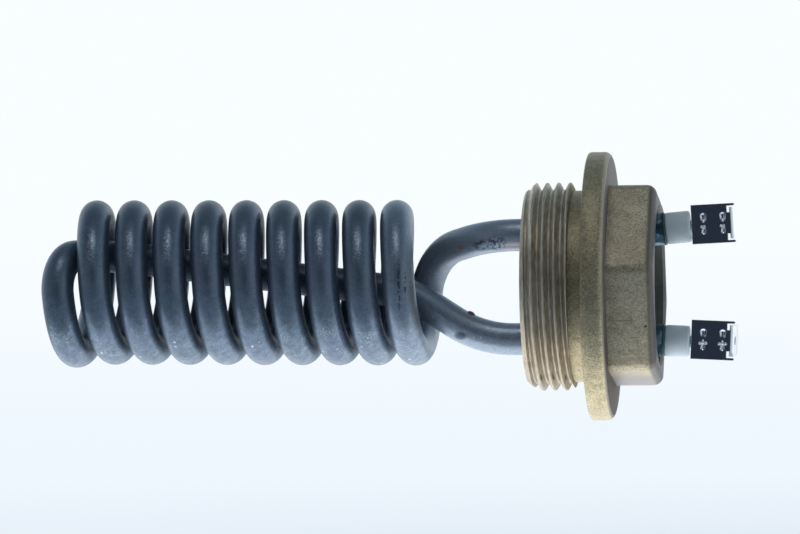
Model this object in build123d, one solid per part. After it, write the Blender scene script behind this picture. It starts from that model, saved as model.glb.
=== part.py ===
from build123d import *
from math import cos, pi, radians, sin, tan
import os

# Screw-in immersion heater for a small boiler: one long sheathed tube, wound into a coil with its
# return leg straight through the middle, brazed into a threaded brass plug. Millimetres, +Z up.
# X is the thread's axis and points out of the vessel. The origin is the centre of the flange's
# sealing face. The two legs of the tube lie one above the other, in the plane Y = 0.

# Screw plug, hot-pressed brass with a turned G 1 1/4 thread. The thread's crests and grooves have
# their section, as rings in place of the helix. Lengths run along X from the sealing face.
thread_d = 41.91
thread_pitch = 2.309
thread_depth = 1.479
thread_flat = 0.35
thread_crest_count = 4
thread_crest_cut = 0.06
thread_lead_depth = 1.65
thread_lead_slope = 0.825
plug_front = 12.6
neck_d = 38.6
neck_length = 3.2
flange_d = 54.0
flange_thickness = 4.5
flange_seal_edge = 0.3
flange_outer_edge = 0.7
hex_length = 9.5
hex_turn = 20.0
hex_corner_radius = 2.5
hex_end_radius = 2.0
hex_land = 0.6
recess_gap = 0.25
recess_corner_chamfer = 0.5
recess_rim_chamfer = 0.5
plug_web = 6.0
bore_clearance = 0.05
cut_overrun = 1.0

# Sheathed tube: metal sheath, magnesia fill, resistance winding and solid cold pins.
tube_d = 6.5
sheath_wall = 0.5
fill_clearance = 0.05
core_d = 2.4
core_clearance = 0.05
pin_d = 2.3
leg_spacing = 21.0

# Coil. Its axis starts at coil_rise over the thread's axis and tips up a little away from the
# plug, as the tube was bent by hand after winding. Each quarter turn is one arc, and the last
# one springs open.
coil_d = 27.0
coil_pitch = 7.7
coil_turn_count = 9
coil_arc_count = 4
coil_standoff = 35.4
coil_rise = 1.1
coil_tip_angle = 0.62
end_turn_growth = 0.6

# Bends between the straight runs. Shares are of the coil's radius; leads and drops are lengths
# from the coil's first or last lowest point, or from a leg.
bend_gap = 0.3
first_bend_share = 0.77
crank_radius = 11.0
crank_lead = 0.6
crank_rise_share = 0.415
upper_bend_radius = 17.0
upper_bend_lead = 14.9
foot_share = 0.752
curl_lean = 8.2
curl_shift = 5.4
curl_radius_share = 0.52
curl_straight = 1.3
return_bend_share = 0.95
return_lead = 3.8
return_depth_share = 0.23
return_rise_share = 0.427
exit_bend_radius = 20.0
exit_bend_lead = -1.4
exit_bend_drop = 2.0
lower_bend_radius = 22.0
lower_bend_lead = 13.2

# Dry ends: the tube's two ends spread a little inside the recess and stop outside the hexagon.
upper_spread_angle = 4.7
lower_spread_angle = 2.9
spread_start = 4.0
spread_radius = 60.0
dry_overhang = 0.8
cold_pin_overlap = 0.5

# End seal, ceramic bead and tab terminal, stacked along each spread end.
seal_depth = 5.0
seal_collar = 0.4
seal_collar_d = 6.1
bead_d = 6.3
bead_length = 4.7
bead_edge = 0.3
tab_gap = 0.7
tab_thickness = 0.8
tab_width = 7.7
tab_length = 7.3
tab_prong_length = 1.0
tab_neck_width = 4.3
tab_notch_width = 1.15
tab_notch_depth = 0.7
tab_bend_radius = 0.4
blade_width = 6.3
blade_length = 7.8
blade_tip_chamfer = 1.2
blade_hole_d = 1.8
blade_hole_from_tip = 3.2
upper_blade_angle = 91.0
lower_blade_angle = 88.0
upper_tab_shift = 0.1
lower_tab_shift = 0.45
weld_first = 2.4
weld_pitch = 3.9
weld_length = 4.5
weld_rib_radius = 1.25
weld_rib_height = 0.4
weld_hollow_radius = 1.1
weld_hollow_depth = 0.45
weld_clearance = 0.02
pin_tail = 0.5

# Brazing where the tube passes the plug's web.
braze_width = 1.2
braze_height = 1.0
braze_clearance = 0.02

tube_r = tube_d / 2
tube_bore = tube_d - 2 * sheath_wall
fill_d = tube_bore - 2 * fill_clearance
coil_r = coil_d / 2
leg_z = leg_spacing / 2
recess_d = leg_spacing + tube_d + 2 * (braze_width + recess_gap + recess_corner_chamfer)
hex_across_flats = recess_d + 2 * (recess_rim_chamfer + hex_land + hex_end_radius)
wet_face = -plug_front
web_face = wet_face + plug_web
hex_end = flange_thickness + hex_length
dry_end = hex_end + dry_overhang
bead_start = seal_collar
tab_start = bead_start + bead_length + tab_gap

tip = radians(coil_tip_angle)
coil_frame = Plane(
    origin=(-coil_standoff, 0, coil_rise), x_dir=(cos(tip), 0, -sin(tip)), z_dir=(sin(tip), 0, cos(tip))
)


def bend_radius(run, before, after):
    """Radius of the bend that takes this much of the straight run on each side of its corner."""
    return run / tan(radians(before.get_angle(after)) / 2)


def half_run(k):
    """Half of the straight run that the tube would make, were the turns square, at quarter k:
    0 is the lowest point, 1 the front, 2 the top and 3 the back. In the coil's frame."""
    turn = 2 * pi * k / coil_arc_count
    along = coil_pitch / coil_arc_count / 2
    return Vector(-along, -coil_r * cos(turn), coil_r * sin(turn))


def coil_turns():
    """Arcs of the coil in its own frame, and its first and last lowest points."""
    points = [Vector(0, 0, -coil_r)]
    arcs = []
    quarters = coil_arc_count * coil_turn_count
    for k in range(quarters):
        step = half_run(k) + half_run(k + 1)
        if k == quarters - 1:
            step = step * (1 + end_turn_growth / coil_r)
        points.append(points[-1] + step)
        arcs.append(Edge.make_tangent_arc(points[-2], half_run(k), points[-1]))
    return arcs, points[0], points[-1]


def upper_route(dry_points, dry_radii, first_low):
    """Upper leg from the plug, over the crank, down behind the coil to its first lowest point."""
    low = coil_frame.from_local_coords(first_low)
    corner = coil_frame.from_local_coords(first_low - half_run(0) * first_bend_share)
    crank = Vector(corner.X + crank_lead, corner.Y, coil_rise + crank_rise_share * coil_r)
    bend = Vector(-coil_standoff + upper_bend_lead, 0, leg_z)
    run = (low - corner).length - bend_gap
    first_radius = bend_radius(run, corner - crank, low - corner)
    radii = dry_radii + [upper_bend_radius, crank_radius, first_radius]
    return FilletPolyline(*dry_points, bend, crank, corner, low, radius=radii)


def lower_route(dry_points, dry_radii, last_low):
    """Curl at the far end, the return through the coil and the lower leg to the plug."""
    foot = last_low + half_run(0) * foot_share
    lean = radians(curl_lean)
    shift = radians(curl_shift)
    climb = Vector(-sin(shift), -sin(lean), cos(lean)).normalized()
    run = (foot - last_low).length
    curl_r = curl_radius_share * coil_r
    back = coil_frame.from_local_coords(
        Vector(last_low.X + return_lead, return_depth_share * coil_r, return_rise_share * coil_r)
    )
    foot_radius = bend_radius(run - bend_gap, half_run(0), climb)
    # The curl's corner turns by a little over a right angle, hence its share of the radius.
    curl = coil_frame.from_local_coords(foot + climb * (run + curl_straight * curl_r))
    points = [
        coil_frame.from_local_coords(last_low),
        coil_frame.from_local_coords(foot),
        curl,
        back,
        Vector(-coil_standoff + exit_bend_lead, 0, coil_rise - exit_bend_drop),
        Vector(-coil_standoff + lower_bend_lead, 0, -leg_z),
    ]
    radii = [foot_radius, curl_r, return_bend_share * coil_r, exit_bend_radius, lower_bend_radius]
    return FilletPolyline(*points, *dry_points, radius=radii + dry_radii)


def spread_point(side, distance):
    """Point on the centre line of a spread tube end; side is 1 for the upper, -1 for the lower."""
    angle = radians(upper_spread_angle if side > 0 else lower_spread_angle)
    return Vector(
        spread_start + distance * cos(angle), 0, side * (leg_z + distance * sin(angle))
    )


def spread_length(side):
    """Distance from the spread's corner to the sheath's end."""
    angle = radians(upper_spread_angle if side > 0 else lower_spread_angle)
    return (dry_end - spread_start) / cos(angle)


def stack_frame(side, height):
    """Frame on a spread end, this far outside the sheath: X along the end, Z up on both sides."""
    along = spread_point(side, 1) - spread_point(side, 0)
    return Plane(
        origin=spread_point(side, spread_length(side) + height),
        x_dir=along,
        z_dir=Vector(-along.Z, 0, along.X),
    )


def tube_route(inset):
    """Centre line of the whole tube, which starts and ends this far inside the sheath's ends."""
    arcs, first_low, last_low = coil_turns()
    upper_end = [spread_point(1, spread_length(1) - inset), spread_point(1, 0)]
    lower_end = [spread_point(-1, 0), spread_point(-1, spread_length(-1) - inset)]
    upper = upper_route(upper_end, [spread_radius], first_low)
    lower = lower_route(lower_end, [spread_radius], last_low)
    return Wire([*upper.edges(), *(coil_frame * arc for arc in arcs), *lower.edges()])


def winding_route():
    """Centre line of the resistance winding, between the cold pins' inner ends."""
    arcs, first_low, last_low = coil_turns()
    inner = wet_face - cold_pin_overlap - core_clearance
    upper = upper_route([Vector(inner, 0, leg_z)], [], first_low)
    lower = lower_route([Vector(inner, 0, -leg_z)], [], last_low)
    return Wire([*upper.edges(), *(coil_frame * arc for arc in arcs), *lower.edges()])


def pin_route(side):
    """Centre line of a cold pin, from its tail behind the tab to just past the wet face."""
    tail = spread_length(side) + tab_start + tab_length - pin_tail
    inner = Vector(wet_face - cold_pin_overlap, 0, side * leg_z)
    points = [spread_point(side, tail), spread_point(side, 0), inner]
    return Wire(FilletPolyline(*points, radius=[spread_radius]).edges())


def rod(route, diameter):
    """Round solid of constant diameter along a route."""
    section = Plane(origin=route @ 0, z_dir=route % 0) * Circle(diameter / 2)
    return sweep(section, path=route)


def pipe(route, outside, inside):
    """Hollow round solid along a route."""
    return rod(route, outside) - rod(route, inside)


def turned(*outline):
    """Solid turned about the X axis from (x, radius) points."""
    return revolve(Plane.XZ * make_face(Polyline(*outline, close=True)), axis=Axis.X)


def thread_section():
    """Points of the thread's rings, from the lead chamfer to the neck."""
    crest_r = thread_d / 2
    root_r = crest_r - thread_depth
    lead_r = crest_r - thread_lead_depth
    root_reach = (thread_pitch - thread_flat) / 2
    last = -neck_length - thread_crest_cut
    points = [(wet_face, lead_r), (wet_face + (root_r - lead_r) / thread_lead_slope, root_r)]
    for k in reversed(range(thread_crest_count)):
        crest = last - k * thread_pitch
        points += [
            (crest - root_reach, root_r),
            (crest - thread_flat / 2, crest_r),
            (min(crest + thread_flat / 2, -neck_length), crest_r),
        ]
        if k > 0:
            points.append((crest + root_reach, root_r))
    return points


def plug_body():
    """Brass plug: thread, neck, flange and hexagon, hollow behind a web that carries the tube."""
    blank = turned(
        (wet_face, 0),
        *thread_section(),
        (-neck_length, neck_d / 2),
        (0, neck_d / 2),
        (0, flange_d / 2 - flange_seal_edge),
        (flange_seal_edge, flange_d / 2),
        (flange_thickness - flange_outer_edge, flange_d / 2),
        (flange_thickness, flange_d / 2 - flange_outer_edge),
        (flange_thickness, 0),
    )
    outline = RegularPolygon(hex_across_flats / 2, 6, major_radius=False, rotation=hex_turn)
    outline = fillet(outline.vertices(), hex_corner_radius)
    hex_plane = Plane(origin=(flange_thickness, 0, 0), x_dir=(0, 0, 1), z_dir=(1, 0, 0))
    head = extrude(hex_plane * outline, hex_length)
    head = fillet(head.faces().sort_by(Axis.X)[-1].edges(), hex_end_radius)
    recess = turned(
        (web_face, 0),
        (web_face, recess_d / 2 - recess_corner_chamfer),
        (web_face + recess_corner_chamfer, recess_d / 2),
        (hex_end - recess_rim_chamfer, recess_d / 2),
        (hex_end, recess_d / 2 + recess_rim_chamfer),
        (hex_end + cut_overrun, recess_d / 2 + recess_rim_chamfer),
        (hex_end + cut_overrun, 0),
    )
    solid = blank + head - recess
    for side in (1, -1):
        start = Plane(origin=(wet_face - cut_overrun, 0, side * leg_z), z_dir=(1, 0, 0))
        bore = Circle(tube_r + bore_clearance)
        solid -= extrude(start * bore, plug_web + 2 * cut_overrun)
    return solid


def braze_ring(side, face, outwards):
    """Fillet of brazing metal round the tube where it leaves the plug's web."""
    inner = tube_r + braze_clearance
    start = face + outwards * braze_clearance
    ring = turned(
        (start, inner), (start, inner + braze_width), (start + outwards * braze_height, inner)
    )
    return Pos(0, 0, side * leg_z) * ring


def end_seal(side):
    """Moulded seal: a plug in the tube's mouth, with a squeezed-out collar under the bead."""
    solid = turned(
        (core_clearance - seal_depth, core_d / 2),
        (core_clearance - seal_depth, fill_d / 2),
        (core_clearance, fill_d / 2),
        (core_clearance, seal_collar_d / 2),
        (seal_collar, seal_collar_d / 2),
        (seal_collar, core_d / 2),
    )
    return stack_frame(side, 0) * solid


def insulating_bead(side):
    """Ceramic bead that keeps the tab clear of the sheath."""
    solid = turned(
        (0, core_d / 2),
        (0, bead_d / 2 - bead_edge),
        (bead_edge, bead_d / 2),
        (bead_length - bead_edge, bead_d / 2),
        (bead_length, bead_d / 2 - bead_edge),
        (bead_length, core_d / 2),
    )
    return stack_frame(side, bead_start) * solid


def weld_bulge(radius, depth):
    """Long rounded bulge across the pin, which stands this far out of the plane Y = 0."""
    reach = weld_length / 2 - radius
    bulge = Cylinder(radius, 2 * reach)
    for z in (-reach, reach):
        bulge += Pos(0, 0, z) * Sphere(radius)
    return Pos(0, depth - radius, 0) * bulge


def mirrored_outline(*points):
    """Flat outline from its upper half, mirrored about the first axis."""
    lower = [(along, -across) for along, across in reversed(points)]
    return make_face(Polyline(*points, *lower, close=True))


def tab_terminal(side):
    """Stamped tab: a plate welded across the pin by two ribs, its outer end bent back as a blade
    for a 6.3 mm push-on connector."""
    back = -(pin_d / 2 + weld_clearance + weld_rib_height)
    half = tab_width / 2
    neck = tab_neck_width / 2
    notch = neck + tab_notch_width
    root = tab_length - tab_notch_depth
    prong_end = tab_length + tab_prong_length
    sheet = mirrored_outline(
        (0, half), (prong_end, half), (prong_end, notch), (root, notch), (root, neck), (tab_length, neck)
    )
    plate_plane = Plane(origin=(0, back, 0), x_dir=(1, 0, 0), z_dir=(0, -1, 0))
    solid = extrude(plate_plane * sheet, tab_thickness)

    bend_centre = Vector(tab_length, back + tab_bend_radius, 0)
    middle = Vector(tab_length, back - tab_thickness / 2, 0)
    section_plane = Plane(origin=middle, x_dir=(0, 1, 0), z_dir=(1, 0, 0))
    section = section_plane * Rectangle(tab_thickness, tab_neck_width)
    turn = upper_blade_angle if side > 0 else lower_blade_angle
    solid += revolve(section, axis=Axis(bend_centre, (0, 0, 1)), revolution_arc=turn)

    along = Vector(cos(radians(turn)), sin(radians(turn)), 0)
    outwards = Vector(sin(radians(turn)), -cos(radians(turn)), 0)
    wide = blade_width / 2
    blade = mirrored_outline(
        (0, neck),
        (tab_notch_depth, neck),
        (tab_notch_depth, wide),
        (blade_length - blade_tip_chamfer, wide),
        (blade_length, wide - blade_tip_chamfer),
    )
    blade -= Pos(blade_length - blade_hole_from_tip, 0) * Circle(blade_hole_d / 2)
    blade_origin = bend_centre + outwards * tab_bend_radius
    blade_plane = Plane(origin=blade_origin, x_dir=along, z_dir=outwards)
    solid += extrude(blade_plane * blade, tab_thickness)

    # Only the part of a rib that stands out of the plate's back is kept.
    behind = Pos(0, back, 0) * Box(
        2 * prong_end, 2 * weld_rib_height, tab_width, align=(Align.CENTER, Align.MIN, Align.CENTER)
    )
    for x in (weld_first, weld_first + weld_pitch):
        solid += Pos(x, back, 0) * weld_bulge(weld_rib_radius, weld_rib_height) & behind
        solid -= Pos(x, back - tab_thickness, 0) * weld_bulge(weld_hollow_radius, weld_hollow_depth)
    shift = upper_tab_shift if side > 0 else lower_tab_shift
    return stack_frame(side, tab_start) * Pos(0, 0, shift) * solid


def save(name, shape):
    export_step(shape, f"parts/{name}.step")


os.makedirs("parts", exist_ok=True)
save("plug_body", plug_body())
save("sheath_tube", pipe(tube_route(0), tube_d, tube_bore))
save("magnesia_fill", pipe(tube_route(seal_depth), fill_d, core_d))
save("resistance_winding", rod(winding_route(), core_d - 2 * core_clearance))
for label, side in (("upper", 1), ("lower", -1)):
    save(f"cold_pin_{label}", rod(pin_route(side), pin_d))
    save(f"end_seal_{label}", end_seal(side))
    save(f"insulating_bead_{label}", insulating_bead(side))
    save(f"tab_terminal_{label}", tab_terminal(side))
    save(f"braze_wet_{label}", braze_ring(side, wet_face, -1))
    save(f"braze_dry_{label}", braze_ring(side, web_face, 1))
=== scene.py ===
from math import cos, hypot, pi, radians, sin, tan

import bmesh
import bpy
from mathutils import Matrix, Vector


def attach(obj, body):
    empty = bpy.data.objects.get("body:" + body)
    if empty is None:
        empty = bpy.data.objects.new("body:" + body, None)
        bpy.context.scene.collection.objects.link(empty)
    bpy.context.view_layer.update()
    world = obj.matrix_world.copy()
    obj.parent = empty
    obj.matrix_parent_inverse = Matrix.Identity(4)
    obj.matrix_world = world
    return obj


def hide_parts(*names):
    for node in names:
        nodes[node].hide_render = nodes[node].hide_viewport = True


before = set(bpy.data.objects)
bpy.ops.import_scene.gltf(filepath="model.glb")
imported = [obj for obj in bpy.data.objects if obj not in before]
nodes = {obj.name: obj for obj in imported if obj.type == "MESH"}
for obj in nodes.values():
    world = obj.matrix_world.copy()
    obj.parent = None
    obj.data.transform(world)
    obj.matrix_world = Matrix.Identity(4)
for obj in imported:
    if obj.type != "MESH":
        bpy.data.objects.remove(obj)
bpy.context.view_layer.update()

# Screw plug: a hot-pressed brass forging. Hexagon and flange keep the blasted, grainy skin of the
# die, and the pipe thread is turned on a lathe. The sizes of all the pieces are in millimetres,
# with X along the thread, out of the tank, and the flange's sealing face at X = 0.

# A millimetre in metres, how near two places count as one, and how near vertices are merged.
MM = 0.001
NEAR = 0.001
MERGE_GAP = 0.0001
SIDES = {"upper": 1, "lower": -1}

PLUG_FRONT = 12.6
THREAD_R = 20.955
THREAD_PITCH = 2.309
THREAD_DEPTH = 1.479
THREAD_ROUNDING = 0.317
THREAD_FLANK = 62.5
THREAD_ARC = (0, 21, 42, THREAD_FLANK)
THREAD_FLANK_STEPS = 4
THREAD_CREST_X = -3.84
THREAD_TURNS = 7
LEAD_LENGTH = 2.0
LEAD_DEPTH = 1.65
NECK_R = 19.3
NECK_LENGTH = 3.2
FLANGE_R = 27.0
FLANGE_THICKNESS = 4.5
FLANGE_SEAL_EDGE = 0.5
FLANGE_OUTER_EDGE = 1.1
SEAL_EDGE_SHAPE = ((0.0, 1.0), (0.3, 0.3), (1.0, 0.0))
OUTER_EDGE_SHAPE = ((1.0, 0.0), (0.55, 0.16), (0.18, 0.48), (0.0, 0.9))
HEX_ACROSS_FLATS = 37.6
HEX_LENGTH = 9.5
HEX_END_X = FLANGE_THICKNESS + HEX_LENGTH
HEX_TURN = -10.0
HEX_CORNER_RADIUS = 2.5
HEX_END_RADIUS = 2.0
HEX_ROUNDING_STEPS = 8
RECESS_R = 15.7
RECESS_CHAMFER = 0.5
WEB_X = -6.6
BORE_R = 3.3
BORE_STEPS = 40
LEG_Z = 10.5
TURN_STEPS = 144
SHARP_ANGLE = 32.0
TURNED, RIM, CAST, RECESS = range(4)


def face_edges(faces):
    """The edges of these faces, each once and in a steady order."""
    return list(dict.fromkeys(e for f in faces for e in f.edges))


def loop_edges(verts):
    """The edges that join these vertices of a loop."""
    inside = set(verts)
    touched = dict.fromkeys(e for v in verts for e in v.link_edges)
    return [e for e in touched if inside.issuperset(e.verts)]


def edges_at(edges, x):
    """Those of these edges that lie across the part at this x."""
    return [e for e in edges if all(abs(v.co.x - x) < NEAR for v in e.verts)]


def ring(bm, x, radius, steps, z):
    """A circle of edges round the X direction."""
    place = Matrix.Translation((x, 0, z)) @ Matrix.Rotation(pi / 2, 4, "Y")
    made = bmesh.ops.create_circle(bm, radius=radius, segments=steps, matrix=place)
    return loop_edges(made["verts"])


def chain(bm, points):
    """A row of vertices at (x, radius) points, joined by edges."""
    verts = [bm.verts.new((x, 0, r)) for x, r in points]
    return verts + [bm.edges.new(pair) for pair in zip(verts, verts[1:])]


def spun(bm, outline, steps):
    """A skin turned about the X axis from (x, radius) points; gives its faces and its end loops."""
    before = set(bm.faces)
    bmesh.ops.spin(
        bm, geom=chain(bm, outline), cent=(0, 0, 0), axis=(1, 0, 0), angle=2 * pi, steps=steps,
        use_merge=True,
    )
    faces = [f for f in bm.faces if f not in before]
    rims = [e for e in face_edges(faces) if len(e.link_faces) == 1]
    ends = [
        [e for e in edges_at(rims, x) if all(abs(hypot(v.co.y, v.co.z) - r) < NEAR for v in e.verts)]
        for x, r in (outline[0], outline[-1])
    ]
    return faces, ends


def flat_fill(bm, *loops):
    """A flat face between an outer loop and the loops of its holes."""
    edges = [e for loop in loops for e in loop]
    made = bmesh.ops.triangle_fill(bm, use_beauty=True, use_dissolve=False, edges=edges)
    return [f for f in made["geom"] if isinstance(f, bmesh.types.BMFace)]


def paint(faces, index):
    for f in faces:
        f.material_index = index


def thread_section():
    """One pitch of the thread from root to root, as (x from its crest, depth under it) points."""
    half = [
        (THREAD_ROUNDING * sin(radians(a)), THREAD_ROUNDING * (1 - cos(radians(a)))) for a in THREAD_ARC
    ]
    flank_x, flank_drop = half[-1]
    flank_run = THREAD_PITCH / 2 - 2 * flank_x
    flank_depth = THREAD_DEPTH - 2 * flank_drop
    root = [(THREAD_PITCH / 2 - x, THREAD_DEPTH - drop) for x, drop in reversed(half)]
    for step in range(1, THREAD_FLANK_STEPS):
        share = step / THREAD_FLANK_STEPS
        half.append((flank_x + flank_run * share, flank_drop + flank_depth * share))
    half += root
    return [(-x, drop) for x, drop in reversed(half[1:])] + half


def thread_barrel(bm):
    """The helical thread, cut off square, with its lead chamfer; gives its faces and end loops."""
    start = THREAD_CREST_X - (THREAD_TURNS - 1) * THREAD_PITCH
    outline = [(start + x, THREAD_R - drop) for x, drop in thread_section()]
    bmesh.ops.spin(
        bm, geom=chain(bm, outline), cent=(0, 0, 0), axis=(1, 0, 0),
        dvec=(THREAD_PITCH / TURN_STEPS, 0, 0), angle=2 * pi * THREAD_TURNS,
        steps=THREAD_TURNS * TURN_STEPS, use_merge=False,
    )
    bmesh.ops.remove_doubles(bm, verts=bm.verts[:], dist=MERGE_GAP)
    for x, outwards in ((-PLUG_FRONT, -1), (-NECK_LENGTH, 1)):
        bmesh.ops.bisect_plane(
            bm, geom=bm.verts[:] + bm.edges[:] + bm.faces[:], dist=MERGE_GAP / 10, plane_co=(x, 0, 0),
            plane_no=(outwards, 0, 0), clear_outer=True,
        )
    for v in bm.verts:
        radius = hypot(v.co.y, v.co.z)
        lead = THREAD_R - LEAD_DEPTH * max(0.0, 1 - (v.co.x + PLUG_FRONT) / LEAD_LENGTH)
        if radius > lead:
            v.co.yz = v.co.yz * (lead / radius)
    rims = [e for e in bm.edges if len(e.link_faces) == 1]
    return bm.faces[:], [edges_at(rims, x) for x in (-PLUG_FRONT, -NECK_LENGTH)]


def flange_outline():
    """Neck, sealing face and rim of the flange, as (x, radius) points."""
    outline = [(-NECK_LENGTH, NECK_R), (0.0, NECK_R)]
    for x, drop in SEAL_EDGE_SHAPE:
        outline.append((x * FLANGE_SEAL_EDGE, FLANGE_R - drop * FLANGE_SEAL_EDGE))
    for x, drop in OUTER_EDGE_SHAPE:
        outline.append((FLANGE_THICKNESS - x * FLANGE_OUTER_EDGE, FLANGE_R - drop * FLANGE_OUTER_EDGE))
    return outline


def hexagon_head(bm):
    """The hexagon, its corners and outer end rounded; gives its faces, base loop and end loop."""
    corner_r = HEX_ACROSS_FLATS / 2 / cos(radians(30))
    place = (
        Matrix.Translation((FLANGE_THICKNESS, 0, 0))
        @ Matrix.Rotation(radians(HEX_TURN), 4, "X")
        @ Matrix.Rotation(pi / 2, 4, "Y")
    )
    before = set(bm.faces)
    bmesh.ops.create_circle(bm, cap_ends=True, radius=corner_r, segments=6, matrix=place)
    base = [f for f in bm.faces if f not in before]
    out = bmesh.ops.extrude_face_region(bm, geom=base, use_keep_orig=True)
    moved = [v for v in out["geom"] if isinstance(v, bmesh.types.BMVert)]
    bmesh.ops.translate(bm, verts=moved, vec=(HEX_LENGTH, 0, 0))
    sides = face_edges([f for f in bm.faces if f not in before])
    uprights = [e for e in sides if abs(e.verts[0].co.x - e.verts[1].co.x) > HEX_LENGTH / 2]
    bmesh.ops.bevel(
        bm, geom=uprights, offset=HEX_CORNER_RADIUS * tan(radians(30)), offset_type="OFFSET",
        affect="EDGES", segments=HEX_ROUNDING_STEPS, profile=0.5, material=-1,
    )
    sides = face_edges([f for f in bm.faces if f not in before])
    bmesh.ops.bevel(
        bm, geom=edges_at(sides, HEX_END_X), offset=HEX_END_RADIUS, offset_type="OFFSET",
        affect="EDGES", segments=HEX_ROUNDING_STEPS, profile=0.5, material=-1,
    )
    loops = []
    for x in (FLANGE_THICKNESS, HEX_END_X):
        head = [f for f in bm.faces if f not in before]
        caps = [f for f in head if len(edges_at(f.edges, x)) == len(f.edges)]
        loops.append(face_edges(caps))
        bmesh.ops.delete(bm, geom=caps, context="FACES_ONLY")
    return [f for f in bm.faces if f not in before], loops


def plug_skin(bm):
    """The whole skin of the plug, each of its surfaces painted with its finish."""
    faces, (wet_rim, thread_end) = thread_barrel(bm)
    paint(faces, TURNED)
    faces, (neck_start, flange_rim) = spun(bm, flange_outline(), TURN_STEPS)
    paint(faces, RIM)
    paint(flat_fill(bm, thread_end, neck_start), TURNED)
    faces, (hex_base, hex_rim) = hexagon_head(bm)
    paint(faces, CAST)
    paint(flat_fill(bm, flange_rim, hex_base), RECESS)
    recess = (
        (WEB_X, RECESS_R - RECESS_CHAMFER),
        (WEB_X + RECESS_CHAMFER, RECESS_R),
        (HEX_END_X - RECESS_CHAMFER, RECESS_R),
        (HEX_END_X, RECESS_R + RECESS_CHAMFER),
    )
    faces, (web_rim, recess_rim) = spun(bm, recess, TURN_STEPS)
    paint(faces, RECESS)
    paint(flat_fill(bm, hex_rim, recess_rim), CAST)
    wet_holes, web_holes = [], []
    for up in SIDES.values():
        wet_hole = ring(bm, -PLUG_FRONT, BORE_R, BORE_STEPS, up * LEG_Z)
        web_hole = ring(bm, WEB_X, BORE_R, BORE_STEPS, up * LEG_Z)
        paint(bmesh.ops.bridge_loops(bm, edges=wet_hole + web_hole)["faces"], TURNED)
        wet_holes += wet_hole
        web_holes += web_hole
    paint(flat_fill(bm, wet_rim, wet_holes), TURNED)
    paint(flat_fill(bm, web_rim, web_holes), RECESS)
    bmesh.ops.remove_doubles(bm, verts=bm.verts[:], dist=MERGE_GAP)


def object_from(bm, name, materials):
    """An object in the scene from a mesh in metres, with its materials."""
    mesh = bpy.data.meshes.new(name)
    bm.to_mesh(mesh)
    bm.free()
    for material in materials:
        mesh.materials.append(material)
    made = bpy.data.objects.new(name, mesh)
    bpy.context.scene.collection.objects.link(made)
    return made


def piece_from(bm, name, materials):
    """A finished piece from a mesh in millimetres, shaded smooth but for its sharp edges."""
    bmesh.ops.scale(bm, vec=(MM, MM, MM), verts=bm.verts[:])
    bmesh.ops.recalc_face_normals(bm, faces=bm.faces[:])
    for f in bm.faces:
        f.smooth = True
    for e in bm.edges:
        e.smooth = len(e.link_faces) == 2 and e.calc_face_angle(0.0) < radians(SHARP_ANGLE)
    piece = object_from(bm, name, materials)
    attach(piece, "root")
    return piece


def node(tree, kind, inputs=None, **settings):
    """One shader node with its settings, and its inputs' values or links."""
    made = tree.nodes.new("ShaderNode" + kind)
    for name, value in settings.items():
        setattr(made, name, value)
    for name, value in (inputs or {}).items():
        socket = made.inputs[name]
        if isinstance(value, bpy.types.NodeSocket):
            tree.links.new(value, socket)
        else:
            socket.default_value = value
    return made


def colour(red, green, blue):
    return (red, green, blue, 1.0)


def noise(tree, place, scale, detail=2.0, roughness=0.5):
    """A cloudy pattern between 0 and 1, with about this many clouds in a metre."""
    inputs = {"Vector": place, "Scale": scale, "Detail": detail, "Roughness": roughness}
    return node(tree, "TexNoise", inputs).outputs["Fac"]


def spread(tree, value, start, end, low=0.0, high=1.0, **settings):
    """A level that runs from low to high while the value runs from start to end."""
    inputs = {"Value": value, "From Min": start, "From Max": end, "To Min": low, "To Max": high}
    return node(tree, "MapRange", inputs, **settings).outputs["Result"]


def ramp(tree, value, start, end, low=0.0, high=1.0):
    """A level as spread gives it, but with a soft start and a soft end."""
    return spread(tree, value, start, end, low, high, interpolation_type="SMOOTHSTEP")


def along(tree, axis, start, end, low=0.0, high=1.0):
    """A soft step between two places on an axis, in millimetres."""
    return ramp(tree, axis, start * MM, end * MM, low, high)


def reckoned(tree, operation, first, second):
    return node(tree, "Math", {0: first, 1: second}, operation=operation).outputs[0]


def times(tree, first, second):
    return reckoned(tree, "MULTIPLY", first, second)


def split(tree, vector):
    """The X, Y and Z of a vector."""
    return node(tree, "SeparateXYZ", {0: vector}).outputs


def mixed_colour(tree, mask, first, second):
    """The first colour, and the second one where the mask is 1."""
    inputs = {"Factor": mask, "A": first, "B": second}
    return node(tree, "Mix", inputs, data_type="RGBA").outputs["Result"]


def lightened(tree, tone, share):
    """A colour that is made lighter, or darker, by a share of itself."""
    return node(tree, "VectorMath", {0: tone, "Scale": share}, operation="SCALE").outputs["Vector"]


def effect_group(name, inputs, outputs):
    """An empty shader group with named sockets; gives its tree, what goes in and what comes out."""
    tree = bpy.data.node_groups.new(name, "ShaderNodeTree")
    for direction, sockets in (("INPUT", inputs), ("OUTPUT", outputs)):
        for label, kind in sockets.items():
            tree.interface.new_socket(name=label, in_out=direction, socket_type="NodeSocket" + kind)
    return tree, tree.nodes.new("NodeGroupInput").outputs, tree.nodes.new("NodeGroupOutput").inputs


def blotches_group():
    """Two tones that drift into each other, as tarnish and annealing colours do."""
    tree, given, out = effect_group(
        "blotches",
        {"Vector": "Vector", "Scale": "Float", "Low": "Float", "High": "Float",
         "First": "Color", "Second": "Color"},
        {"Color": "Color"},
    )
    cloud = noise(tree, given["Vector"], given["Scale"], detail=5.0, roughness=0.6)
    share = spread(tree, cloud, given["Low"], given["High"])
    tree.links.new(mixed_colour(tree, share, given["First"], given["Second"]), out["Color"])
    return tree


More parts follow.
